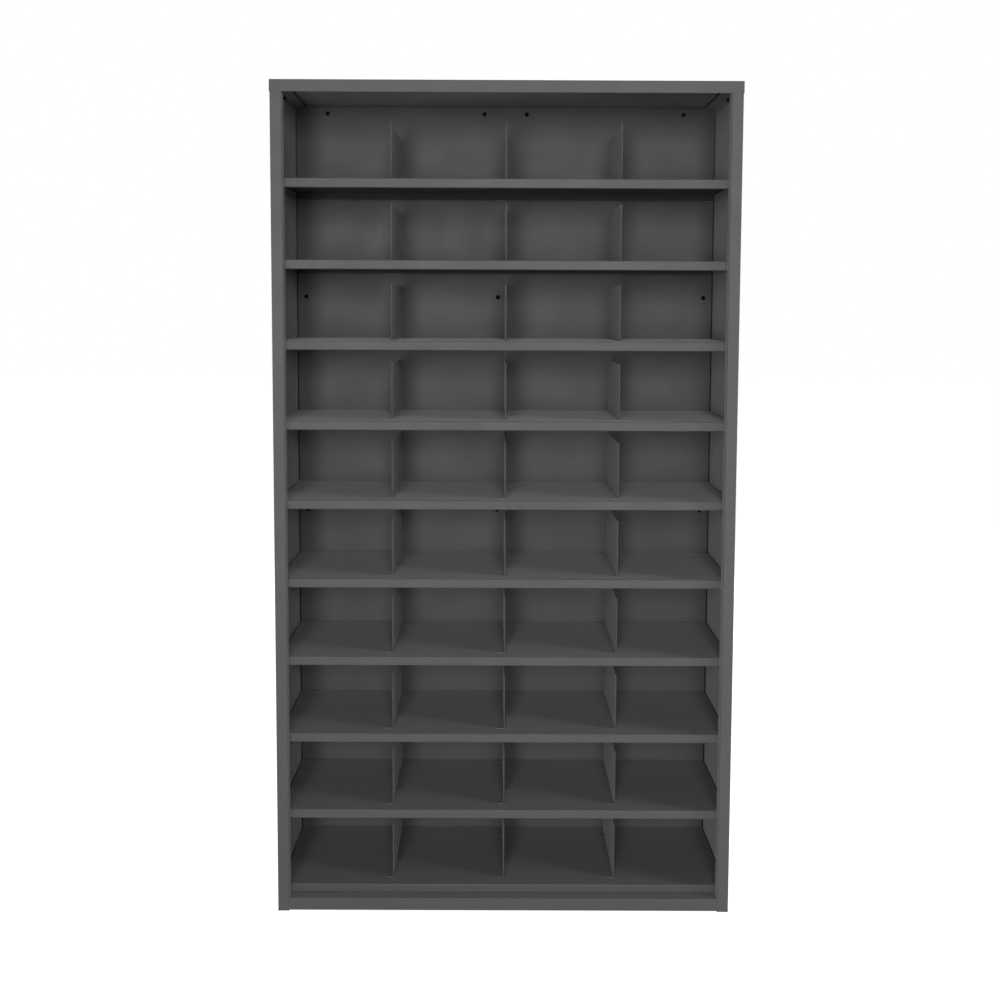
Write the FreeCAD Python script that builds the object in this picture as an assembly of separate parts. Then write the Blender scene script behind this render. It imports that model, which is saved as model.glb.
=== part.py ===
import FreeCAD, Part
import math
import os

V = FreeCAD.Vector

# ---------------------------------------------------------------- overall size
WIDTH = 1000.0            # across the cap
DEPTH = 460.0             # front face to rear face of the cap
ROWS = 10
COLUMNS = 4
ROW_PITCH = 173.0         # shelf top to shelf top
FIRST_PITCH = 170.5       # base shelf top to the shelf top above it
TOP_ROW = 176.0           # top shelf to the cap's lower edge
BASE_TOP = 50.0           # top of the base shelf above the floor
CAP_HEIGHT = 25.0
HEIGHT = BASE_TOP + FIRST_PITCH + (ROWS - 2) * ROW_PITCH + TOP_ROW + CAP_HEIGHT

# ---------------------------------------------------------------- sheet metal
SHEET = 0.8
BEND = 1.0                # inside radius of a fold
FIT = 0.3                 # clearance between two pieces that fit together

# ---------------------------------------------------------------- side panels
POST_FACE = 25.0
POST_RETURN = 35.0
REAR_FLANGE = 35.0

# ---------------------------------------------------------------- side angles
ANGLE_FLANGE = 24.2       # inward from the wall
ANGLE_LEG = 14.0          # along the wall
ANGLE_START = 3.0         # end of the post return to the top angle
CAP_GAP = 3.0             # cap sheet down to the top angle
CORNER_TAB_HEIGHT = 18.5
CORNER_TAB_INSET = 4.0    # tab to wall
CORNER_HOLE_R = 2.5
CORNER_HOLE_EDGE = 2.0    # metal left between the hole and the tab's edges

# ---------------------------------------------------------------- shelves
LIP = 20.0                # height of every shelf flange
LIP_RETURN = 12.0
SHELF_POST_GAP = 0.4      # shelf lip to the end of the post return
SHELF_WALL_GAP = 0.6
CORNER_RELIEF = 0.7       # notch between two flanges of a shelf, past their bends

# ---------------------------------------------------------------- back panels
BACK_BOTTOM = 2.0
BACK_TOP_GAP = 10.0       # below the top of the cap
LAP = 34.2                # strip of the right panel behind the left one
SEAM_X = 1.2              # right edge of the left panel
SEAM_GAP = 1.2

# ---------------------------------------------------------------- base rail
RAIL_HEIGHT = BASE_TOP - LIP
RAIL_BOTTOM = 2.0
LEDGE_PAST_POST = 25.0    # ledge behind the end of the post return
RAIL_LIP_RISE = 12.0      # rear lip above the floor
RAIL_SLOT = 1.5           # ledge to the post return
EAR_RISE = 10.0           # ear on the side wall above the floor
EAR_OVERLAP = 12.0

# ---------------------------------------------------------------- dividers
DIVIDER_HEIGHT = 122.0    # leaves a gap under the shelf above
DIVIDER_SET_BACK = 44.0   # behind the shelf lip
DIVIDER_REAR_GAP = 0.4    # to the plane of the inside of the shelf rear lip
HEM_DEPTH = 10.0
HEM_BEND = 0.35
HEM_FLAT = 0.1            # flat between the two bends of the hem
FOOT_REACH = 12.0
FOOT_LENGTH = 14.0
FOOT_LEG = 12.0
FRONT_FOOT_SET_BACK = 2.0
MIDDLE_FOOT_SET_BACK = 109.0
REAR_FOOT_INSET = 60.0    # from the divider's rear edge

# ---------------------------------------------------------------- clips
CLIP_WIDTH = 17.0
CLIP_REACH = 12.0
CLIP_LEG = 10.0
CLIP_WALL_GAP = 4.5       # rear corner clips to the side wall
FRONT_CLIP_SET_BACK = 10.0

# ---------------------------------------------------------------- fasteners, M4
BOLT_R = 1.92             # over the thread
BOLT_LENGTH = 8.0
HOLE_CLEARANCE = 0.05     # punched to a close fit
THREAD_CLEARANCE = 0.1
HEAD_OVERHANG = 1.88
HEAD_HEIGHT = 2.2
HEAD_ROUND = 1.5
NUT_WALL = 1.48           # thread to the flats
NUT_HEIGHT = 4.0          # with its flange
NUT_FLANGE_R = 5.0
NUT_FLANGE = 1.0          # thickness
CAP_BOLT_INNER_X = 50.0   # from the middle
CAP_BOLT_CORNER = 78.5    # from the side of the cap
CAP_BOLT_RISE = 5.5       # above the cap's lower edge
SIDE_BOLT_DROP = 7.7      # below the top of the angle
REAR_BOLT_EDGE = 11.6     # from the free edge of the rear flange
SEAM_BOLT_DROPS = (75.5, 69.5, 63.5)     # below the shelf above, one in every third row

# ---------------------------------------------------------------- derived sizes
HOLE_R = BOLT_R + HOLE_CLEARANCE
NUT_BORE_R = BOLT_R + THREAD_CLEARANCE
NUT_CORNER_R = (NUT_BORE_R + NUT_WALL) * 2 / math.sqrt(3)
CORNER_CUT = BEND + SHEET + CORNER_RELIEF
HEM_GAP = 2 * HEM_BEND + HEM_FLAT
HEM_WIDTH = 2 * SHEET + HEM_GAP

# ---------------------------------------------------------------- derived planes
Y_FRONT = -(DEPTH + HEAD_HEIGHT) / 2
Y_CAP_REAR = Y_FRONT + DEPTH
CAP_UNDER = HEIGHT - SHEET
CAP_EDGE = HEIGHT - CAP_HEIGHT
WALL_OUT = WIDTH / 2 - SHEET - FIT
WALL_IN = WALL_OUT - SHEET
POST_IN = WALL_OUT - POST_FACE
Y_POST = Y_FRONT + SHEET + FIT
Y_RETURN = Y_POST + POST_RETURN
Y_SIDE_REAR = Y_CAP_REAR - SHEET - FIT
Y_BACK_REAR = Y_SIDE_REAR - SHEET
Y_BACK = Y_BACK_REAR - SHEET
Y_LIP = Y_RETURN + SHELF_POST_GAP
Y_SHELF_REAR = Y_BACK - SHEET - FIT
SHELF_HALF = WALL_IN - SHELF_WALL_GAP
DIVIDER_PITCH = 2 * WALL_IN / COLUMNS
Y_DIVIDER = Y_LIP + DIVIDER_SET_BACK
Y_DIVIDER_REAR = Y_SHELF_REAR - SHEET - DIVIDER_REAR_GAP
ANGLE_TOP = CAP_UNDER - CAP_GAP
ANGLE_IN = WALL_IN - SHEET
ANGLE_Y_REAR = Y_BACK - FIT
Y_LEDGE_REAR = Y_RETURN + LEDGE_PAST_POST
BACK_TOP = HEIGHT - BACK_TOP_GAP
SHELF_TOPS = [BASE_TOP + FIRST_PITCH + (ROWS - 1 - row) * ROW_PITCH for row in range(1, ROWS)]
SHELF_TOPS.append(BASE_TOP)
FEET = ((Y_DIVIDER + FRONT_FOOT_SET_BACK, -1),           # front end, side it turns to
        (Y_DIVIDER + MIDDLE_FOOT_SET_BACK, 1),
        (Y_DIVIDER_REAR - REAR_FOOT_INSET - FOOT_LENGTH, -1))

# ---------------------------------------------------------------- derived bolt places
CAP_BOLT_X = (CAP_BOLT_INNER_X, WIDTH / 2 - CAP_BOLT_CORNER)
CAP_BOLT_Z = CAP_EDGE + CAP_BOLT_RISE
SIDE_BOLT_Y = Y_FRONT + DEPTH / 2
SIDE_BOLT_Z = ANGLE_TOP - SIDE_BOLT_DROP
REAR_BOLT_X = WALL_OUT - REAR_FLANGE + REAR_BOLT_EDGE
LAP_BOLT_X = (SEAM_X - LAP) / 2
SEAM_BOLT_Z = [above - drop for above, drop in zip(SHELF_TOPS[1::3], SEAM_BOLT_DROPS)]


# ---------------------------------------------------------------- helpers
def box(x0, x1, y0, y1, z0, z1):
    return Part.makeBox(x1 - x0, y1 - y0, z1 - z0, V(x0, y0, z0))


def xy(z):
    return lambda u, v: V(u, v, z)


def xz(y):
    return lambda u, v: V(u, y, v)


def yz(x):
    return lambda u, v: V(x, u, v)


def unit(a, b):
    length = math.hypot(b[0] - a[0], b[1] - a[1])
    return ((b[0] - a[0]) / length, (b[1] - a[1]) / length)


def offset_left(points, distance):
    """The same polyline moved sideways, to its left."""
    result = []
    count = len(points)
    for i in range(count):
        before = unit(points[max(i - 1, 0)], points[max(i, 1)])
        after = unit(points[min(i, count - 2)], points[min(i + 1, count - 1)])
        normal_a = (-before[1], before[0])
        normal_b = (-after[1], after[0])
        scale = distance / (1 + normal_a[0] * normal_b[0] + normal_a[1] * normal_b[1])
        result.append((points[i][0] + (normal_a[0] + normal_b[0]) * scale,
                       points[i][1] + (normal_a[1] + normal_b[1]) * scale))
    return result


def rounded_edges(points, radius, place):
    """Edges of a polyline whose corners are arcs of the given radius."""
    edges = []
    start = points[0]
    for i in range(1, len(points) - 1):
        corner = points[i]
        d1 = unit(points[i - 1], corner)
        d2 = unit(corner, points[i + 1])
        half = math.acos(max(-1.0, min(1.0, d1[0] * d2[0] + d1[1] * d2[1]))) / 2
        reach = radius * math.tan(half)
        a = (corner[0] - d1[0] * reach, corner[1] - d1[1] * reach)
        b = (corner[0] + d2[0] * reach, corner[1] + d2[1] * reach)
        inward = unit(d1, d2)
        to_arc = radius / math.cos(half) - radius
        middle = (corner[0] + inward[0] * to_arc, corner[1] + inward[1] * to_arc)
        edges.append(Part.makeLine(place(*start), place(*a)))
        edges.append(Part.Arc(place(*a), place(*middle), place(*b)).toShape())
        start = b
    edges.append(Part.makeLine(place(*start), place(*points[-1])))
    return edges


def fold(points, place, along, bend=BEND):
    """Sheet folded to the left along a line of outside corners, then drawn out."""
    inner = offset_left(points, SHEET)
    edges = rounded_edges(points, bend + SHEET, place)
    edges += rounded_edges(inner, bend, place)
    edges.append(Part.makeLine(place(*points[0]), place(*inner[0])))
    edges.append(Part.makeLine(place(*points[-1]), place(*inner[-1])))
    outline = Part.Wire(Part.__sortEdges__(edges))
    return Part.Face(outline).extrude(along)


def merge(first, *others):
    return first.fuse(list(others)).removeSplitter()


def mirrored(shape):
    return shape.mirror(V(0, 0, 0), V(1, 0, 0))


def hole_y(x, z, radius, y0, y1):
    return Part.makeCylinder(radius, y1 - y0 + 2 * SHEET, V(x, y0 - SHEET, z), V(0, 1, 0))


def hole_x(y, z, radius, x0, x1):
    return Part.makeCylinder(radius, x1 - x0 + 2 * SHEET, V(x0 - SHEET, y, z), V(1, 0, 0))


def export(shape, name):
    shape.exportStep("parts/" + name + ".step")


# ---------------------------------------------------------------- top cap
def top_cap():
    """Lid with a face all round; it sits on the ends of the side panels."""
    half = WIDTH / 2
    outer = box(-half, half, Y_FRONT, Y_CAP_REAR, CAP_EDGE, HEIGHT)
    rounded = [e for e in outer.Edges if e.BoundBox.ZMax > CAP_UNDER]
    outer = outer.makeFillet(BEND + SHEET, rounded)
    inner = box(-half + SHEET, half - SHEET, Y_FRONT + SHEET, Y_CAP_REAR - SHEET,
                CAP_EDGE - SHEET, CAP_UNDER)
    rim = [e for e in inner.Edges if e.BoundBox.ZMin > CAP_EDGE]
    cap = outer.cut(inner.makeFillet(FIT, rim))
    for x in CAP_BOLT_X:
        for side in (-1, 1):
            cap = cap.cut(hole_y(side * x, CAP_BOLT_Z, HOLE_R, Y_CAP_REAR - SHEET, Y_CAP_REAR))
    return cap.cut(hole_x(SIDE_BOLT_Y, SIDE_BOLT_Z, HOLE_R, -half, half))


# ---------------------------------------------------------------- side panels
def side_panel_right():
    """Post, wall and rear flange folded from one sheet."""
    section = [(POST_IN, Y_RETURN), (POST_IN, Y_POST), (WALL_OUT, Y_POST),
               (WALL_OUT, Y_SIDE_REAR), (WALL_OUT - REAR_FLANGE, Y_SIDE_REAR)]
    panel = fold(section, xy(0), V(0, 0, CAP_UNDER))
    panel = panel.cut(hole_x(SIDE_BOLT_Y, SIDE_BOLT_Z, HOLE_R, WALL_IN, WALL_OUT))
    for z in SEAM_BOLT_Z:
        panel = panel.cut(hole_y(REAR_BOLT_X, z, HOLE_R, Y_BACK_REAR, Y_SIDE_REAR))
    return panel


# ---------------------------------------------------------------- side angles
def top_angle_right():
    """Angle inside the side wall, its flange folded down behind into a tab with a hole."""
    y0 = Y_RETURN + ANGLE_START
    flange_end = WALL_IN - ANGLE_FLANGE
    angle = fold([(WALL_IN, ANGLE_TOP - ANGLE_LEG), (WALL_IN, ANGLE_TOP), (flange_end, ANGLE_TOP)],
                 xz(y0), V(0, ANGLE_Y_REAR - y0, 0))
    tab_out = WALL_IN - CORNER_TAB_INSET
    tab_low = ANGLE_TOP - CORNER_TAB_HEIGHT
    bend_y = ANGLE_Y_REAR - BEND - SHEET
    y_past = ANGLE_Y_REAR + SHEET
    z_under = ANGLE_TOP - 2 * SHEET
    angle = angle.cut(box(flange_end - SHEET, tab_out, bend_y, y_past, z_under, HEIGHT))
    angle = angle.cut(box(tab_out, ANGLE_IN - BEND, bend_y - SHEET, y_past, z_under, HEIGHT))
    angle = angle.cut(hole_x(SIDE_BOLT_Y, SIDE_BOLT_Z, HOLE_R, ANGLE_IN, WALL_IN))
    tab = fold([(ANGLE_Y_REAR, tab_low), (ANGLE_Y_REAR, ANGLE_TOP), (bend_y - SHEET, ANGLE_TOP)],
               yz(flange_end), V(tab_out - flange_end, 0, 0))
    to_hole = CORNER_HOLE_EDGE + CORNER_HOLE_R
    hole = hole_y(tab_out - to_hole, tab_low + to_hole, CORNER_HOLE_R,
                  ANGLE_Y_REAR - SHEET, ANGLE_Y_REAR)
    return merge(angle, tab.cut(hole))


def bottom_angle_right():
    """Angle inside the side wall, behind the base rail, with its flange on the floor."""
    y0 = Y_LEDGE_REAR + FIT
    section = [(WALL_IN - ANGLE_FLANGE, 0), (WALL_IN, 0), (WALL_IN, ANGLE_LEG)]
    return fold(section, xz(y0), V(0, ANGLE_Y_REAR - y0, 0))


# ---------------------------------------------------------------- back panels
def drill_back(panel, side):
    """Holes of one back panel: along the cap, down its outer edge and down the lap."""
    holes = [(side * x, CAP_BOLT_Z) for x in CAP_BOLT_X]
    holes += [(side * REAR_BOLT_X, z) for z in SEAM_BOLT_Z]
    holes += [(LAP_BOLT_X, z) for z in SEAM_BOLT_Z]
    for x, z in holes:
        panel = panel.cut(hole_y(x, z, HOLE_R, Y_BACK, Y_SIDE_REAR))
    return panel


def back_panel_left():
    panel = box(-WALL_IN + BEND, SEAM_X, Y_BACK, Y_BACK_REAR, BACK_BOTTOM, BACK_TOP)
    return drill_back(panel, -1)


def back_panel_right():
    """Sheet with a strip along its left edge that steps behind the left panel."""
    edge = SEAM_X + SEAM_GAP
    knee = edge + BEND + SHEET
    panel = box(edge, WALL_IN - BEND, Y_BACK, Y_BACK_REAR, BACK_BOTTOM, BACK_TOP)
    strip = box(-LAP, knee, Y_BACK_REAR, Y_SIDE_REAR, BACK_BOTTOM, BACK_TOP)
    corner = [e for e in panel.Edges
              if e.BoundBox.ZMax - e.BoundBox.ZMin > ROW_PITCH
              and e.BoundBox.Center.x < knee and e.BoundBox.Center.y < Y_BACK_REAR - SHEET / 2]
    return drill_back(merge(panel.makeFillet(SHEET / 2, corner), strip), 1)


# ---------------------------------------------------------------- base rail
def base_rail_front():
    """Toe rail: face, ledge and rear lip, with an ear on each side wall."""
    half = POST_IN - FIT
    section = [(Y_LEDGE_REAR, RAIL_LIP_RISE), (Y_LEDGE_REAR, RAIL_HEIGHT),
               (Y_POST, RAIL_HEIGHT), (Y_POST, RAIL_BOTTOM)]
    rail = fold(section, yz(-half), V(2 * half, 0, 0))
    slot_x = POST_IN - RAIL_SLOT
    slot = box(slot_x, POST_IN, Y_POST + BEND + SHEET, Y_LEDGE_REAR + SHEET, 0, BASE_TOP)
    ear_y = Y_LIP + BEND
    ear = fold([(WALL_IN, EAR_RISE), (WALL_IN, RAIL_HEIGHT), (slot_x - EAR_OVERLAP, RAIL_HEIGHT)],
               xz(ear_y), V(0, Y_LEDGE_REAR - BEND - SHEET - ear_y, 0))
    return merge(rail.cut(slot).cut(mirrored(slot)), ear, mirrored(ear))


# ---------------------------------------------------------------- shelves
def shelf(top):
    """Tray folded down on all four sides, with a return under its front lip."""
    half = SHELF_HALF - CORNER_CUT
    low = top - LIP
    section = [(Y_SHELF_REAR, low), (Y_SHELF_REAR, top), (Y_LIP, top), (Y_LIP, low),
               (Y_LIP + LIP_RETURN, low)]
    tray = fold(section, yz(-half), V(2 * half, 0, 0))
    y0 = Y_LIP + CORNER_CUT
    flange = fold([(SHELF_HALF, low), (SHELF_HALF, top), (half - LIP, top)],
                  xz(y0), V(0, Y_SHELF_REAR - CORNER_CUT - y0, 0))
    return merge(tray, flange, mirrored(flange))


# ---------------------------------------------------------------- dividers
def divider():
    """One divider on the plane x = 0 with its lower edge at z = 0."""
    t = SHEET / 2
    section = [(-t, Y_DIVIDER_REAR), (-t, Y_DIVIDER),
               (HEM_WIDTH - t, Y_DIVIDER), (HEM_WIDTH - t, Y_DIVIDER + HEM_DEPTH)]
    plate = fold(section, xy(0), V(0, 0, DIVIDER_HEIGHT), HEM_BEND)
    feet = []
    for y0, side in FEET:
        plate = plate.cut(box(-t - SHEET, t + HEM_GAP / 2, y0, y0 + FOOT_LENGTH, -SHEET, FOOT_LEG))
        foot = fold([(-t - FOOT_REACH, 0), (t, 0), (t, FOOT_LEG)], xz(y0), V(0, FOOT_LENGTH, 0))
        feet.append(foot if side < 0 else mirrored(foot))
    return merge(plate, *feet)


# ---------------------------------------------------------------- clips
def rear_clip(x0, low):
    section = [(Y_BACK - CLIP_REACH, low - SHEET), (Y_BACK, low - SHEET), (Y_BACK, low + CLIP_LEG)]
    return fold(section, yz(x0), V(CLIP_WIDTH, 0, 0), FIT)


def rear_clips():
    """Under the rear lip of every shelf: one at each corner, one left of the middle."""
    corner = WALL_IN - CLIP_WALL_GAP - CLIP_WIDTH
    middle = -SHEET / 2 - FIT - CLIP_WIDTH
    clips = []
    for top in SHELF_TOPS:
        for x0 in (-corner - CLIP_WIDTH, middle, corner):
            clips.append(rear_clip(x0, top - LIP))
    return Part.makeCompound(clips)


def front_clips():
    """Under the front of every shelf but the base shelf, one on each side wall."""
    clips = []
    y0 = Y_LIP + FRONT_CLIP_SET_BACK
    for top in SHELF_TOPS[:-1]:
        low = top - LIP
        section = [(WALL_IN, low - CLIP_LEG), (WALL_IN, low), (WALL_IN - CLIP_REACH, low)]
        clip = fold(section, xz(y0), V(0, CLIP_WIDTH, 0), FIT)
        clips += [clip, mirrored(clip)]
    return Part.makeCompound(clips)


# ---------------------------------------------------------------- fasteners
def bolt(seat, direction):
    """Button-head bolt: the head rests on the seat, the shank runs along direction."""
    head = Part.makeCylinder(BOLT_R + HEAD_OVERHANG, HEAD_HEIGHT, seat, direction * -1)
    rim = [e for e in head.Edges if e.Curve.TypeId == "Part::GeomCircle"
           and (e.Curve.Center - seat).Length > HEAD_HEIGHT / 2]
    head = head.makeFillet(min(HEAD_ROUND, HEAD_HEIGHT - FIT), rim)
    return merge(head, Part.makeCylinder(BOLT_R, BOLT_LENGTH, seat, direction))


def nut(seat, direction):
    """Flanged hexagon nut that rests on the seat and stands up along direction."""
    angles = [math.radians(60 * i) for i in range(7)]
    ring = [V(NUT_CORNER_R * math.cos(a), NUT_CORNER_R * math.sin(a), 0) for a in angles]
    body = Part.Face(Part.makePolygon(ring)).extrude(V(0, 0, NUT_HEIGHT))
    body = merge(body, Part.makeCylinder(NUT_FLANGE_R, NUT_FLANGE))
    body = body.cut(Part.makeCylinder(NUT_BORE_R, 3 * NUT_HEIGHT, V(0, 0, -NUT_HEIGHT)))
    body.Placement = FreeCAD.Placement(seat, FreeCAD.Rotation(V(0, 0, 1), direction))
    return body


def cap_fasteners():
    """Four through the rear face of the cap and one through each side of it."""
    bolts = []
    nuts = []
    for side in (-1, 1):
        for x in CAP_BOLT_X:
            bolts.append(bolt(V(side * x, Y_CAP_REAR, CAP_BOLT_Z), V(0, -1, 0)))
            nuts.append(nut(V(side * x, Y_BACK, CAP_BOLT_Z), V(0, -1, 0)))
        bolts.append(bolt(V(side * WIDTH / 2, SIDE_BOLT_Y, SIDE_BOLT_Z), V(-side, 0, 0)))
        nuts.append(nut(V(side * ANGLE_IN, SIDE_BOLT_Y, SIDE_BOLT_Z), V(-side, 0, 0)))
    return Part.makeCompound(bolts), Part.makeCompound(nuts)


def seam_fasteners():
    """At each height, one at both rear corners and one through the lap."""
    bolts = []
    nuts = []
    for z in SEAM_BOLT_Z:
        for x in (-REAR_BOLT_X, LAP_BOLT_X, REAR_BOLT_X):
            bolts.append(bolt(V(x, Y_SIDE_REAR, z), V(0, -1, 0)))
            nuts.append(nut(V(x, Y_BACK, z), V(0, -1, 0)))
    return Part.makeCompound(bolts), Part.makeCompound(nuts)


# ---------------------------------------------------------------- export
os.makedirs("parts", exist_ok=True)
export(top_cap(), "top_cap")
for piece, name in ((side_panel_right(), "side_panel"), (top_angle_right(), "top_angle"),
                    (bottom_angle_right(), "bottom_angle")):
    export(piece, name + "_right")
    export(mirrored(piece), name + "_left")
export(back_panel_left(), "back_panel_left")
export(back_panel_right(), "back_panel_right")
export(base_rail_front(), "base_rail_front")
for row, level in enumerate(SHELF_TOPS, 1):
    export(shelf(level), "base_shelf" if row == ROWS else "shelf_%d" % row)
    for column in range(1, COLUMNS):
        piece = divider()
        piece.translate(V((column - COLUMNS / 2) * DIVIDER_PITCH, 0, level))
        export(piece, "divider_%d_%d" % (row, column))
export(rear_clips(), "rear_clips")
export(front_clips(), "front_clips")
cap_bolts, cap_nuts = cap_fasteners()
seam_bolts, seam_nuts = seam_fasteners()
export(cap_bolts, "cap_bolts")
export(cap_nuts, "cap_nuts")
export(seam_bolts, "seam_bolts")
export(seam_nuts, "seam_nuts")
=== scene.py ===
import math

import bmesh
import bpy
from mathutils import Matrix, Vector


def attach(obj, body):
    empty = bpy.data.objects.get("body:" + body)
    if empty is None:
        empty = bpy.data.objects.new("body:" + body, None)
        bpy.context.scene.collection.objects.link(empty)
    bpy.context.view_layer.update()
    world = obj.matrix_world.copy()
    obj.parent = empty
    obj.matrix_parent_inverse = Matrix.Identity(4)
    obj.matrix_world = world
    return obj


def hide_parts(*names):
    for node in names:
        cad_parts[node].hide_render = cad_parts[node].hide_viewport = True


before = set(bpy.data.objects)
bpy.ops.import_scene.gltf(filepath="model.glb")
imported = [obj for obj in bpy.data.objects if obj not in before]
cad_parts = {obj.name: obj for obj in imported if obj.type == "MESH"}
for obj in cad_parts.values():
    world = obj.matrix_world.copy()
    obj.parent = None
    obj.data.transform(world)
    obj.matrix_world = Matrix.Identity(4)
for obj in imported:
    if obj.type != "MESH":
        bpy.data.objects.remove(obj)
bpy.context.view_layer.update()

scene = bpy.context.scene
mm = 0.001

# planes of the cabinet, from the middle and from the floor
WALL_FACE = 498.1 * mm     # inner face of a side wall
ANGLE_EDGE_X = 473.9 * mm  # inner edge of the angle along the top of a side wall
ANGLE_LOW = 1785.0 * mm    # below its leg and its corner tab
LID_FACE = 1804.7 * mm     # underside of the lid
LID_REAR_Y = 225.4 * mm    # where the lid meets the back
REAR_LIP_Y = 224.3 * mm    # inner face of the rear lip of a tray
SHEET = 0.8 * mm
SHADE_FULL_UP_TO = 1200.0 * mm   # the painted shade in the joints beside the walls is full up to here
TOP_SHADE_SHARE = 0.6         # and fades to this share of it at the top


# ---------------------------------------------------------------- node helpers
def add_node(tree, kind, **values):
    """New node; a value whose name is a socket is set there, others are properties."""
    node = tree.nodes.new(kind)
    for name, value in values.items():
        socket = name.replace("_", " ")
        if socket in node.inputs:
            node.inputs[socket].default_value = value
        else:
            setattr(node, name, value)
    return node


def link(tree, source, target):
    tree.links.new(source, target)


def new_group(name, inputs, outputs):
    """Node group with named sockets: {name: (kind, default)} in, {name: kind} out."""
    tree = bpy.data.node_groups.new(name, "ShaderNodeTree")
    for label, (kind, default) in inputs.items():
        socket = tree.interface.new_socket(label, in_out="INPUT", socket_type=kind)
        if default is not None:
            socket.default_value = default
    for label, kind in outputs.items():
        tree.interface.new_socket(label, in_out="OUTPUT", socket_type=kind)
    return tree, tree.nodes.new("NodeGroupInput"), tree.nodes.new("NodeGroupOutput")


def use_group(tree, group, **values):
    node = tree.nodes.new("ShaderNodeGroup")
    node.node_tree = group
    for name, value in values.items():
        node.inputs[name.replace("_", " ")].default_value = value
    return node


def maths(tree, operation, a, b):
    node = add_node(tree, "ShaderNodeMath", operation=operation)
    for socket, value in zip(node.inputs, (a, b)):
        if isinstance(value, (int, float)):
            socket.default_value = value
        else:
            link(tree, value, socket)
    return node.outputs[0]


def blend_colours(tree, factor, first, second):
    node = add_node(tree, "ShaderNodeMix", data_type="RGBA")
    for socket, value in zip((node.inputs[0], node.inputs[6], node.inputs[7]),
                             (factor, first, second)):
        if isinstance(value, (int, float, tuple)):
            socket.default_value = value
        else:
            link(tree, value, socket)
    return node.outputs[2]


def between(tree, value, low, high):
    """1 where low < value < high, else 0."""
    return maths(tree, "MULTIPLY", maths(tree, "GREATER_THAN", value, low),
                 maths(tree, "LESS_THAN", value, high))


def seen_directly(tree):
    """1 for what the camera, a reflection or a refraction shows, 0 for light on a surface."""
    rays = tree.nodes.new("ShaderNodeLightPath").outputs
    seen = maths(tree, "MAXIMUM", rays["Is Camera Ray"], rays["Is Glossy Ray"])
    return maths(tree, "MAXIMUM", seen, rays["Is Transmission Ray"])


# ---------------------------------------------------------------- shared effects
def powder_grain():
    """Orange peel of a baked powder coat: a fine relief and a faint speckle."""
    tree, given, result = new_group(
        "powder grain",
        {"Coordinates": ("NodeSocketVector", None), "Grain size": ("NodeSocketFloat", 1.2)},
        {"Relief": "NodeSocketFloat", "Speckle": "NodeSocketFloat"})
    per_metre = maths(tree, "DIVIDE", 1000.0, given.outputs["Grain size"])
    peel = add_node(tree, "ShaderNodeTexNoise", Detail=3.0, Roughness=0.55)
    speck = add_node(tree, "ShaderNodeTexNoise", Detail=2.0, Roughness=0.6)
    for node in (peel, speck):
        link(tree, given.outputs["Coordinates"], node.inputs["Vector"])
    link(tree, per_metre, peel.inputs["Scale"])
    link(tree, maths(tree, "MULTIPLY", per_metre, 1.9), speck.inputs["Scale"])
    link(tree, peel.outputs["Fac"], result.inputs["Relief"])
    spread = add_node(tree, "ShaderNodeMapRange", From_Min=0.35, From_Max=0.65)
    link(tree, speck.outputs["Fac"], spread.inputs["Value"])
    link(tree, spread.outputs["Result"], result.inputs["Speckle"])
    return tree


def soft_clouds():
    """Slow change over a surface: uneven coat thickness, handling and a little dust."""
    tree, given, result = new_group(
        "soft clouds",
        {"Coordinates": ("NodeSocketVector", None), "Cloud size": ("NodeSocketFloat", 0.3)},
        {"Cloud": "NodeSocketFloat", "Smudge": "NodeSocketFloat"})
    per_metre = maths(tree, "DIVIDE", 1.0, given.outputs["Cloud size"])
    for label, faster, detail in (("Cloud", 1.0, 3.0), ("Smudge", 4.3, 5.0)):
        noise = add_node(tree, "ShaderNodeTexNoise", Detail=detail, Roughness=0.5)
        link(tree, given.outputs["Coordinates"], noise.inputs["Vector"])
        link(tree, maths(tree, "MULTIPLY", per_metre, faster), noise.inputs["Scale"])
        spread = add_node(tree, "ShaderNodeMapRange", From_Min=0.3, From_Max=0.7)
        link(tree, noise.outputs["Fac"], spread.inputs["Value"])
        link(tree, spread.outputs["Result"], result.inputs[label])
    return tree


def edge_highlight_and_wear():
    """Masks on sheet edges and folds: Edge for a painted highlight along them, where the coat is also
    thin, and Rub for patches rubbed by use.
    """
    tree, given, result = new_group(
        "edge highlight and wear",
        {"Coordinates": ("NodeSocketVector", None), "Edge width": ("NodeSocketFloat", 0.0012)},
        {"Edge": "NodeSocketFloat", "Rub": "NodeSocketFloat"})
    rounded = add_node(tree, "ShaderNodeBevel", samples=6)
    link(tree, given.outputs["Edge width"], rounded.inputs["Radius"])
    surface = tree.nodes.new("ShaderNodeNewGeometry")
    agree = add_node(tree, "ShaderNodeVectorMath", operation="DOT_PRODUCT")
    link(tree, rounded.outputs["Normal"], agree.inputs[0])
    link(tree, surface.outputs["Normal"], agree.inputs[1])
    edge = add_node(tree, "ShaderNodeMapRange", From_Min=0.995, From_Max=0.86)
    link(tree, agree.outputs["Value"], edge.inputs["Value"])
    patches = add_node(tree, "ShaderNodeTexNoise", Scale=60.0, Detail=4.0)
    link(tree, given.outputs["Coordinates"], patches.inputs["Vector"])
    some = add_node(tree, "ShaderNodeMapRange", From_Min=0.5, From_Max=0.72)
    link(tree, patches.outputs["Fac"], some.inputs["Value"])
    link(tree, edge.outputs["Result"], result.inputs["Edge"])
    link(tree, maths(tree, "MULTIPLY", edge.outputs["Result"], some.outputs["Result"]),
         result.inputs["Rub"])
    return tree


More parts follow.
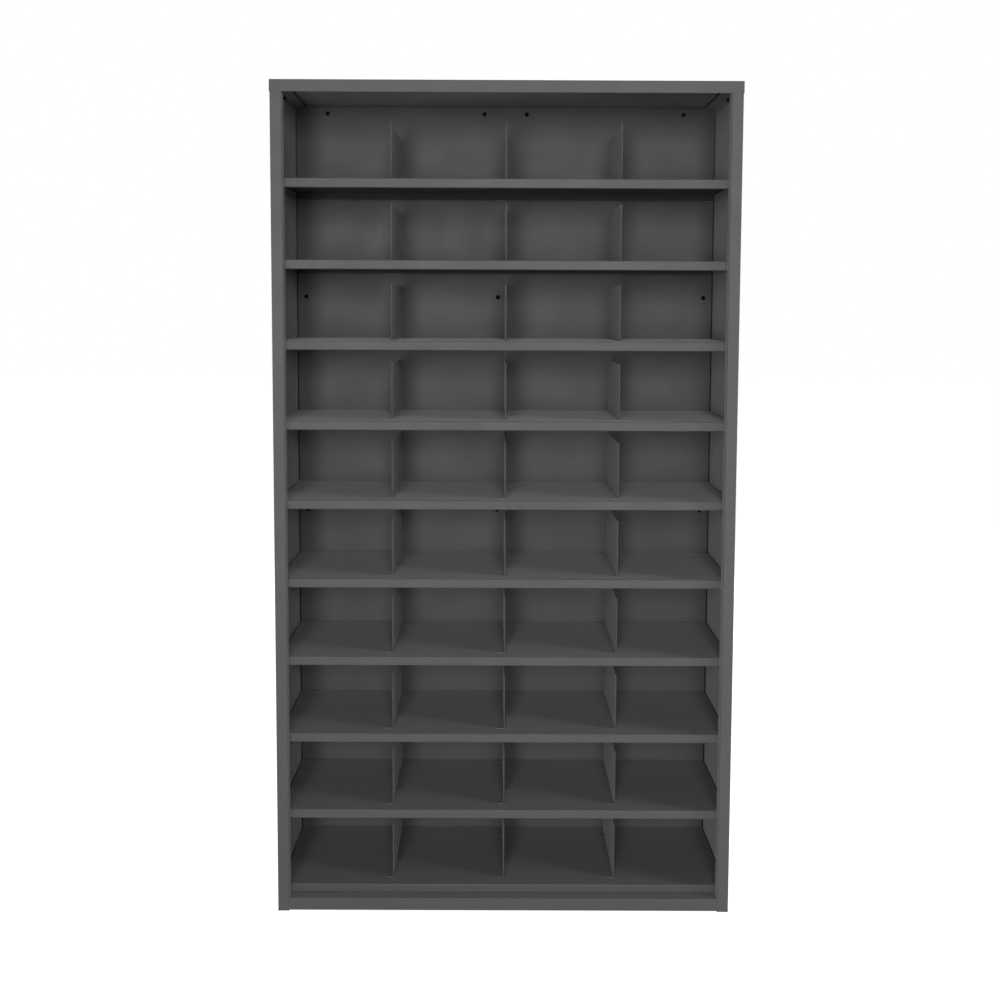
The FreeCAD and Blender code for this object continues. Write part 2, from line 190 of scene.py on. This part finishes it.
def corner_shade():
    """Masks that are 1 deep in an inner corner, for painted shade where little light gets in."""
    tree, given, result = new_group(
        "corner shade", {"Seam width": ("NodeSocketFloat", 0.006)},
        {"Seam": "NodeSocketFloat", "Enclosed": "NodeSocketFloat"})
    open_sky = add_node(tree, "ShaderNodeAmbientOcclusion", samples=8)
    link(tree, given.outputs["Seam width"], open_sky.inputs["Distance"])
    for label, open_share, shut_share in (("Seam", 0.75, 0.30), ("Enclosed", 0.95, 0.78)):
        mask = add_node(tree, "ShaderNodeMapRange", From_Min=open_share, From_Max=shut_share)
        link(tree, open_sky.outputs["AO"], mask.inputs["Value"])
        link(tree, mask.outputs["Result"], result.inputs[label])
    return tree


def joint_and_hollow_shade():
    """Masks for painted shade at the open joints and hollows of this cabinet.

    Wall is 1 in the open joint where a tray or the back ends at a side wall, painted near-black
    as shade, strongest in the lower rows. Lid is 1 on the lid along the side angles and along
    the back, a painted shadow line. Tray is 1 at the height of trays, and Rear on their rear lips.
    """
    tree, given, result = new_group(
        "joint and hollow shade",
        {"Coordinates": ("NodeSocketVector", None), "Joint width": ("NodeSocketFloat", 0.003)},
        {"Wall": "NodeSocketFloat", "Lid": "NodeSocketFloat", "Tray": "NodeSocketFloat",
         "Rear": "NodeSocketFloat"})
    axes = tree.nodes.new("ShaderNodeSeparateXYZ")
    link(tree, given.outputs["Coordinates"], axes.inputs["Vector"])
    x = maths(tree, "ABSOLUTE", axes.outputs["X"], 0.0)
    y, z = axes.outputs["Y"], axes.outputs["Z"]
    width = given.outputs["Joint width"]
    below_angle = maths(tree, "LESS_THAN", z, ANGLE_LOW)
    link(tree, below_angle, result.inputs["Tray"])

    beside_wall = between(tree, x, maths(tree, "SUBTRACT", WALL_FACE, width), WALL_FACE - SHEET / 4)
    # the painted shade beside the walls fades toward the top
    shade_strength = add_node(tree, "ShaderNodeMapRange", From_Min=SHADE_FULL_UP_TO, From_Max=ANGLE_LOW,
                        To_Min=1.0, To_Max=TOP_SHADE_SHARE)
    link(tree, z, shade_strength.inputs["Value"])
    wall = maths(tree, "MULTIPLY", beside_wall, shade_strength.outputs["Result"])
    link(tree, maths(tree, "MULTIPLY", wall, below_angle), result.inputs["Wall"])

    beside_angle = between(tree, x, maths(tree, "SUBTRACT", ANGLE_EDGE_X, width), ANGLE_EDGE_X)
    beside_back = maths(tree, "GREATER_THAN", y, maths(tree, "SUBTRACT", LID_REAR_Y, width))
    on_lid = maths(tree, "GREATER_THAN", z, LID_FACE - SHEET / 2)
    link(tree, maths(tree, "MULTIPLY", on_lid, maths(tree, "MAXIMUM", beside_angle, beside_back)),
         result.inputs["Lid"])

    lip = between(tree, y, REAR_LIP_Y - 2 * SHEET, REAR_LIP_Y + 1.1 * SHEET)
    link(tree, maths(tree, "MULTIPLY", lip, below_angle), result.inputs["Rear"])
    return tree


grain_group = powder_grain()
cloud_group = soft_clouds()
edge_group = edge_highlight_and_wear()
corner_shade_group = corner_shade()
joint_group = joint_and_hollow_shade()


# ---------------------------------------------------------------- materials
def graphite_powder_coat(name, sheen, edge_highlight_tone, rear_shade):
    """Satin graphite polyester powder on folded sheet steel, with painted shade in corners, joints
    and hollows and a painted highlight on edges.
    """
    material = bpy.data.materials.new(name)
    material.use_nodes = True
    tree = material.node_tree
    coat = tree.nodes["Principled BSDF"]
    coat.inputs["Metallic"].default_value = 0.0
    coat.inputs["IOR"].default_value = 1.5
    # unmelted powder and fine dust scatter light back at grazing angles
    coat.inputs["Sheen Weight"].default_value = sheen
    coat.inputs["Sheen Roughness"].default_value = 0.45
    place = tree.nodes.new("ShaderNodeTexCoord").outputs["Object"]
    grain = use_group(tree, grain_group, Grain_size=1.3)
    clouds = use_group(tree, cloud_group, Cloud_size=0.35)
    edges = use_group(tree, edge_group, Edge_width=0.0012)
    seams = use_group(tree, corner_shade_group, Seam_width=0.006)
    joints = use_group(tree, joint_group, Joint_width=0.0031)
    for node in (grain, clouds, edges, joints):
        link(tree, place, node.inputs["Coordinates"])

    facing = tree.nodes.new("ShaderNodeSeparateXYZ")
    link(tree, tree.nodes.new("ShaderNodeNewGeometry").outputs["Normal"], facing.inputs["Vector"])
    looks_down = maths(tree, "LESS_THAN", facing.outputs["Z"], -0.9)
    # painted shadow along the lid's rims, and painted shade in the wall joints where they are
    # enclosed
    lid = maths(tree, "MULTIPLY", joints.outputs["Lid"], looks_down)
    wall = maths(tree, "MULTIPLY", joints.outputs["Wall"], seams.outputs["Enclosed"])
    joint = maths(tree, "MAXIMUM", lid, wall)
    # painted shade on the rear lips, which lie in the shade of the front lips, and under the trays
    rear = maths(tree, "MULTIPLY", joints.outputs["Rear"], rear_shade)
    under = maths(tree, "MULTIPLY", joints.outputs["Tray"], maths(tree, "MULTIPLY", looks_down, 0.25))
    shade_mask = maths(tree, "MAXIMUM", joint, maths(tree, "MAXIMUM", rear, under))
    # no painted highlight on the shaded rear lips
    edge = maths(tree, "MULTIPLY", edges.outputs["Edge"], maths(tree, "SUBTRACT", 1.0, rear))

    tone = blend_colours(tree, clouds.outputs["Cloud"],
                         (0.090, 0.090, 0.0925, 1), (0.100, 0.100, 0.102, 1))
    for mask, share, colour in (
            (grain.outputs["Speckle"], 0.30, (0.122, 0.122, 0.124, 1)),
            (clouds.outputs["Smudge"], 0.10, (0.128, 0.127, 0.125, 1)),
            # painted shade on the rear lips
            (rear, 1.0, (0.072, 0.072, 0.072, 1)),
            # painted shade deep in inner corners
            (seams.outputs["Seam"], 0.5, (0.012, 0.012, 0.012, 1)),
            # painted highlight on edges and folds, where the coat is also thin
            (edge, 0.75, (edge_highlight_tone, edge_highlight_tone, edge_highlight_tone * 1.008, 1)),
            (edges.outputs["Rub"], 0.25, (0.300, 0.297, 0.290, 1)),
            # painted near-black shade in the open joints and along the lid's rims
            (joint, 0.96, (0.001, 0.001, 0.001, 1))):
        tone = blend_colours(tree, maths(tree, "MULTIPLY", mask, share), tone, colour)
    link(tree, tone, coat.inputs["Base Color"])

    rough = maths(tree, "ADD", 0.46, maths(tree, "MULTIPLY", clouds.outputs["Smudge"], 0.07))
    rough = maths(tree, "ADD", rough, maths(tree, "MULTIPLY", grain.outputs["Speckle"], 0.05))
    # the painted shade is rougher too, so it shows no highlight
    link(tree, maths(tree, "MAXIMUM", rough, shade_mask), coat.inputs["Roughness"])
    relief = add_node(tree, "ShaderNodeBump", Strength=0.16, Distance=0.0001)
    link(tree, grain.outputs["Relief"], relief.inputs["Height"])
    # in the painted shade of joints, rear lips and tray undersides the shading normal turns to the
    # front, so the sheen does not hide the painted shade
    frontal = add_node(tree, "ShaderNodeMix", data_type="VECTOR")
    link(tree, shade_mask, frontal.inputs[0])
    link(tree, relief.outputs["Normal"], frontal.inputs[4])
    frontal.inputs[5].default_value = (0.0, -1.0, 0.0)
    unit = add_node(tree, "ShaderNodeVectorMath", operation="NORMALIZE")
    link(tree, frontal.outputs[1], unit.inputs[0])
    link(tree, unit.outputs["Vector"], coat.inputs["Normal"])
    return material


def black_oxide():
    """Matt black bolts and nuts, a little greyer where a spanner rubs the corners."""
    material = bpy.data.materials.new("black oxide steel")
    material.use_nodes = True
    tree = material.node_tree
    steel = tree.nodes["Principled BSDF"]
    steel.inputs["Metallic"].default_value = 0.0
    steel.inputs["Specular IOR Level"].default_value = 0.05
    place = tree.nodes.new("ShaderNodeTexCoord").outputs["Object"]
    grain = use_group(tree, grain_group, Grain_size=0.35)
    edges = use_group(tree, edge_group, Edge_width=0.0003)
    for node in (grain, edges):
        link(tree, place, node.inputs["Coordinates"])
    tone = blend_colours(tree, grain.outputs["Speckle"],
                         (0.0015, 0.0015, 0.0016, 1), (0.0030, 0.0030, 0.0029, 1))
    tone = blend_colours(tree, maths(tree, "MULTIPLY", edges.outputs["Rub"], 0.6),
                         tone, (0.040, 0.039, 0.037, 1))
    link(tree, tone, steel.inputs["Base Color"])
    link(tree, maths(tree, "ADD", 0.42, maths(tree, "MULTIPLY", grain.outputs["Speckle"], 0.16)),
         steel.inputs["Roughness"])
    relief = add_node(tree, "ShaderNodeBump", Strength=0.25, Distance=0.00004)
    link(tree, grain.outputs["Relief"], relief.inputs["Height"])
    link(tree, relief.outputs["Normal"], steel.inputs["Normal"])
    return material


def pale_floor():
    """Matt studio floor that reads as white and keeps the cabinet's shadow."""
    material = bpy.data.materials.new("studio floor")
    material.use_nodes = True
    tree = material.node_tree
    tree.nodes.clear()
    matt = add_node(tree, "ShaderNodeBsdfDiffuse", Color=(0.30, 0.30, 0.30, 1))
    lift = add_node(tree, "ShaderNodeEmission", Color=(1, 1, 1, 1))
    link(tree, maths(tree, "MULTIPLY", seen_directly(tree), 0.99), lift.inputs["Strength"])
    both = tree.nodes.new("ShaderNodeAddShader")
    link(tree, matt.outputs["BSDF"], both.inputs[0])
    link(tree, lift.outputs["Emission"], both.inputs[1])
    output = tree.nodes.new("ShaderNodeOutputMaterial")
    link(tree, both.outputs["Shader"], output.inputs["Surface"])
    return material


coat_material = graphite_powder_coat("graphite powder coat", 0.3, 0.245, 0.85)
# the panels get more sheen than the shelves and the dividers less, so the walls look lighter and the
# divider faces darker at grazing angles; the dividers' edges get a brighter painted highlight
panel_material = graphite_powder_coat("graphite powder coat of panels", 0.42, 0.245, 0.0)
divider_material = graphite_powder_coat("graphite powder coat of dividers", 0.22, 0.50, 0.0)
black_material = black_oxide()


# ---------------------------------------------------------------- fasteners
THREAD_R = 1.92 * mm
BORE_R = 2.02 * mm
SINK = 0.3 * mm           # countersink of a nut's bore
FLAT_R = 3.5 * mm
NUT_HEIGHT = 4.0 * mm
NUT_SLOPE = math.tan(math.radians(30))
FLANGE_R = 5.0 * mm
FLANGE_RIM = 0.45 * mm    # straight edge under the slope up to the hexagon
FLANGE_TOP = 1.0 * mm
HEAD_R = 3.8 * mm
HEAD_HEIGHT = 2.2 * mm
HEAD_RIM = 0.7 * mm       # straight edge under the dome
DOME_TOP_R = 2.1 * mm
DOME_TURN = math.radians(62)
DOME_STEPS = 6
SHANK = 8.0 * mm
PITCH = 0.7 * mm
THREAD_DEPTH = 0.38 * mm
SOCKET_R = 1.44 * mm      # centre to corner
SOCKET_DEPTH = 1.3 * mm
SEGMENTS = 36
TIGHTENED = math.radians(37)   # turn from one fastener to the next
SHARP = math.radians(35)  # folds steeper than this keep a hard edge


def turned(profile, closed):
    """Solid of (radius, height) points turned about Z; an open profile gets flat ends."""
    bm = bmesh.new()
    points = [bm.verts.new((radius, 0, height)) for radius, height in profile]
    steps = len(points) if closed else len(points) - 1
    edges = [bm.edges.new((points[i], points[(i + 1) % len(points)])) for i in range(steps)]
    bmesh.ops.spin(bm, geom=points + edges, cent=(0, 0, 0), axis=(0, 0, 1), angle=2 * math.pi,
                   steps=SEGMENTS, use_merge=True, use_duplicate=False)
    bmesh.ops.remove_doubles(bm, verts=bm.verts[:], dist=1e-7)
    ends = [edge for edge in bm.edges if edge.is_boundary]
    if ends:
        bmesh.ops.edgeloop_fill(bm, edges=ends)
    return bm


def finished(bm):
    """Faces turned outward, smooth where they run on and hard where they fold."""
    bmesh.ops.recalc_face_normals(bm, faces=bm.faces[:])
    for face in bm.faces:
        face.smooth = True
    for edge in bm.edges:
        edge.smooth = edge.calc_face_angle(0) < SHARP
    return bm


def joined(parts):
    """All the given shells in one; the parts are used up."""
    whole = bmesh.new()
    for part in parts:
        mesh = bpy.data.meshes.new("part")
        part.to_mesh(mesh)
        part.free()
        whole.from_mesh(mesh)
        bpy.data.meshes.remove(mesh)
    return whole


def flange_nut():
    """Nut that stands on z = 0 on its round flange, with chamfered corners."""
    corner = FLAT_R * 2 / math.sqrt(3)
    drop = (corner - FLAT_R) * NUT_SLOPE
    foot = FLANGE_RIM / 2
    hexagon = turned([(BORE_R, foot), (corner, foot), (corner, NUT_HEIGHT - drop),
                      (FLAT_R, NUT_HEIGHT), (BORE_R + SINK, NUT_HEIGHT),
                      (BORE_R, NUT_HEIGHT - SINK)], True)
    for i in range(6):
        turn = math.radians(60 * i + 30)
        way = Vector((math.cos(turn), math.sin(turn), 0))
        everything = hexagon.verts[:] + hexagon.edges[:] + hexagon.faces[:]
        cut = bmesh.ops.bisect_plane(hexagon, geom=everything, dist=1e-8,
                                     plane_co=way * FLAT_R, plane_no=way, clear_outer=True)
        rim = [e for e in cut["geom_cut"] if isinstance(e, bmesh.types.BMEdge) and e.is_boundary]
        bmesh.ops.edgeloop_fill(hexagon, edges=rim)
    bmesh.ops.remove_doubles(hexagon, verts=hexagon.verts[:], dist=1e-8)
    flange = turned([(BORE_R + SINK, 0), (FLANGE_R, 0), (FLANGE_R, FLANGE_RIM),
                     (FLAT_R, FLANGE_TOP), (BORE_R + SINK, FLANGE_TOP)], True)
    return finished(joined([hexagon, flange]))


def button_bolt():
    """Bolt whose domed head stands on z = 0 and whose threaded shank runs down from it."""
    profile = [(SOCKET_R, HEAD_HEIGHT - SOCKET_DEPTH), (SOCKET_R, HEAD_HEIGHT)]
    for i in range(DOME_STEPS, -1, -1):
        turn = DOME_TURN * i / DOME_STEPS
        inward = (1 - math.cos(turn)) / (1 - math.cos(DOME_TURN))
        upward = math.sin(turn) / math.sin(DOME_TURN)
        profile.append((HEAD_R - (HEAD_R - DOME_TOP_R) * inward,
                        HEAD_RIM + (HEAD_HEIGHT - HEAD_RIM) * upward))
    profile += [(HEAD_R, 0), (THREAD_R, 0)]
    for i in range(int(SHANK / PITCH)):
        crest = -(i + 0.5) * PITCH
        profile += [(THREAD_R, crest), (THREAD_R - THREAD_DEPTH, crest - 0.5 * PITCH)]
    profile.append((THREAD_R - THREAD_DEPTH, -SHANK))
    bm = turned(profile, False)
    for vert in bm.verts:
        if vert.co.z > 0 and vert.co.xy.length < SOCKET_R + SINK / 2:
            turn = math.atan2(vert.co.y, vert.co.x)
            within = turn % math.radians(60) - math.radians(30)
            vert.co.xy *= math.cos(math.radians(30)) / math.cos(within)
    return finished(bm)


def place_copies(name, make, places, node):
    """One piece of all the copies that stand for a CAD node; places are (point, way up)."""
    copies = []
    for index, (point, way) in enumerate(places):
        one = make()
        # every fastener was tightened to its own angle
        pose = way.to_track_quat("Z", "Y").to_matrix() @ Matrix.Rotation(TIGHTENED * index, 3, "Z")
        bmesh.ops.transform(one, matrix=Matrix.Translation(point) @ pose.to_4x4(),
                            verts=one.verts[:])
        copies.append(one)
    whole = joined(copies)
    mesh = bpy.data.meshes.new(name)
    whole.to_mesh(mesh)
    whole.free()
    mesh.materials.append(black_material)
    piece = bpy.data.objects.new(name, mesh)
    scene.collection.objects.link(piece)
    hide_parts(node)
    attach(piece, "root")
    return piece


def solid_boxes(node):
    """Lowest and highest corner of every separate solid of a CAD node."""
    bm = bmesh.new()
    bm.from_mesh(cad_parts[node].data)
    bmesh.ops.remove_doubles(bm, verts=bm.verts[:], dist=1e-6)
    left = set(bm.verts)
    found = []
    while left:
        waiting = [left.pop()]
        group = []
        while waiting:
            vert = waiting.pop()
            group.append(vert.co.copy())
            for edge in vert.link_edges:
                other = edge.other_vert(vert)
                if other in left:
                    left.remove(other)
                    waiting.append(other)
        found.append((Vector([min(c[i] for c in group) for i in range(3)]),
                      Vector([max(c[i] for c in group) for i in range(3)])))
    bm.free()
    return sorted(found, key=lambda pair: tuple(round(v, 4) for v in pair[0]))


def nut_places(node):
    places = []
    for low, high in solid_boxes(node):
        middle = (low + high) / 2
        if high.y - low.y < high.x - low.x and high.y - low.y < high.z - low.z + 1e-4:
            places.append((Vector((middle.x, high.y, middle.z)), Vector((0, -1, 0))))
        else:
            side = 1 if middle.x > 0 else -1
            seat = high.x if side > 0 else low.x
            places.append((Vector((seat, middle.y, middle.z)), Vector((-side, 0, 0))))
    return places


def bolt_places(node):
    places = []
    for low, high in solid_boxes(node):
        middle = (low + high) / 2
        if high.y - low.y > high.x - low.x:
            places.append((Vector((middle.x, high.y - HEAD_HEIGHT, middle.z)), Vector((0, 1, 0))))
        else:
            side = 1 if middle.x > 0 else -1
            outside = high.x if side > 0 else low.x
            places.append((Vector((outside - side * HEAD_HEIGHT, middle.y, middle.z)),
                           Vector((side, 0, 0))))
    return places


# ---------------------------------------------------------------- the cabinet
for name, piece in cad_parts.items():
    chosen = coat_material
    if name.endswith("_bolts") or name.endswith("_nuts"):
        chosen = black_material
    elif name.startswith("side_panel"):
        chosen = panel_material
    elif name.startswith("divider") or name.endswith("_clips"):
        chosen = divider_material
    for slot in piece.material_slots:
        slot.material = chosen

place_copies("cap_nut_set", flange_nut, nut_places("cap_nuts"), "cap_nuts")
place_copies("seam_nut_set", flange_nut, nut_places("seam_nuts"), "seam_nuts")
place_copies("cap_bolt_set", button_bolt, bolt_places("cap_bolts"), "cap_bolts")
place_copies("seam_bolt_set", button_bolt, bolt_places("seam_bolts"), "seam_bolts")


# ---------------------------------------------------------------- floor and world
floor_bm = bmesh.new()
bmesh.ops.create_grid(floor_bm, x_segments=1, y_segments=1, size=30.0)
floor_mesh = bpy.data.meshes.new("studio_floor")
floor_bm.to_mesh(floor_mesh)
floor_bm.free()
floor_mesh.materials.append(pale_floor())
floor = bpy.data.objects.new("studio_floor", floor_mesh)
scene.collection.objects.link(floor)

world = bpy.data.worlds.new("studio")
scene.world = world
world.use_nodes = True
sky = world.node_tree
sky.nodes.clear()
ambient = add_node(sky, "ShaderNodeBackground", Color=(1, 1, 1, 1), Strength=0.05)
backdrop = add_node(sky, "ShaderNodeBackground", Color=(1, 1, 1, 1), Strength=1.0)
choose = sky.nodes.new("ShaderNodeMixShader")
link(sky, seen_directly(sky), choose.inputs["Fac"])
link(sky, ambient.outputs["Background"], choose.inputs[1])
link(sky, backdrop.outputs["Background"], choose.inputs[2])
link(sky, choose.outputs["Shader"], add_node(sky, "ShaderNodeOutputWorld").inputs["Surface"])


# ---------------------------------------------------------------- lamps
def softbox(name, place, aim, width, height, watts):
    """Rectangular lamp at a place, turned to face the point it aims at; sizes in metres."""
    lamp = bpy.data.lights.new(name, "AREA")
    lamp.shape = "RECTANGLE"
    lamp.size = width
    lamp.size_y = height
    lamp.energy = watts
    holder = bpy.data.objects.new(name, lamp)
    holder.location = place
    holder.rotation_euler = (Vector(aim) - Vector(place)).to_track_quat("-Z", "Y").to_euler()
    scene.collection.objects.link(holder)


# distant screens light the front and the pigeonholes; the pair at the left draws the
# shadow of every divider on the back, the high ones leave the hollows under shelves dark
softbox("left_high_screen", (-0.9, -8.5, 2.2), (0.0, 0.0, 1.1), 0.9, 1.6, 70.0)
softbox("left_low_screen", (-0.9, -8.5, 0.9), (0.0, 0.0, 0.9), 0.9, 1.2, 72.0)
softbox("right_high_screen", (0.5, -8.5, 2.2), (0.0, 0.0, 1.1), 0.9, 1.6, 110.0)
# skims the front from the right, so the right-hand post is the brighter one
softbox("right_strip", (2.3, -1.4, 1.3), (0.45, 0.0, 1.3), 0.6, 1.8, 12.0)
# these stand behind the front plane, so they light only the sides, the rear and the top
for side in (-1, 1):
    softbox("side_screen", (side * 4.5, 1.2, 2.2), (0.0, 0.1, 0.9), 2.0, 2.6, 160.0)
softbox("rear_screen", (0.8, 4.8, 2.4), (0.0, 0.0, 1.0), 3.0, 2.4, 150.0)


# ---------------------------------------------------------------- camera
def make_camera():
    yaw = math.radians(0.1207)
    pitch = math.radians(6.436)
    roll = math.radians(0.2324)
    ahead = Vector((math.sin(yaw) * math.cos(pitch), math.cos(yaw) * math.cos(pitch),
                    -math.sin(pitch)))
    level = Vector((math.cos(yaw), -math.sin(yaw), 0))
    upright = level.cross(ahead)
    right = level * math.cos(roll) + upright * math.sin(roll)
    up = upright * math.cos(roll) - level * math.sin(roll)
    data = bpy.data.cameras.new("camera")
    data.sensor_fit = "HORIZONTAL"
    data.sensor_width = 36.0
    data.lens = 36.0 * 1.686
    data.clip_end = 200.0
    camera = bpy.data.objects.new("camera", data)
    turned = Matrix((right, up, -ahead)).transposed().to_4x4()
    camera.matrix_world = Matrix.Translation((-0.01831, -3.845, 1.326)) @ turned
    scene.collection.objects.link(camera)
    scene.camera = camera


make_camera()
scene.view_settings.view_transform = "Standard"
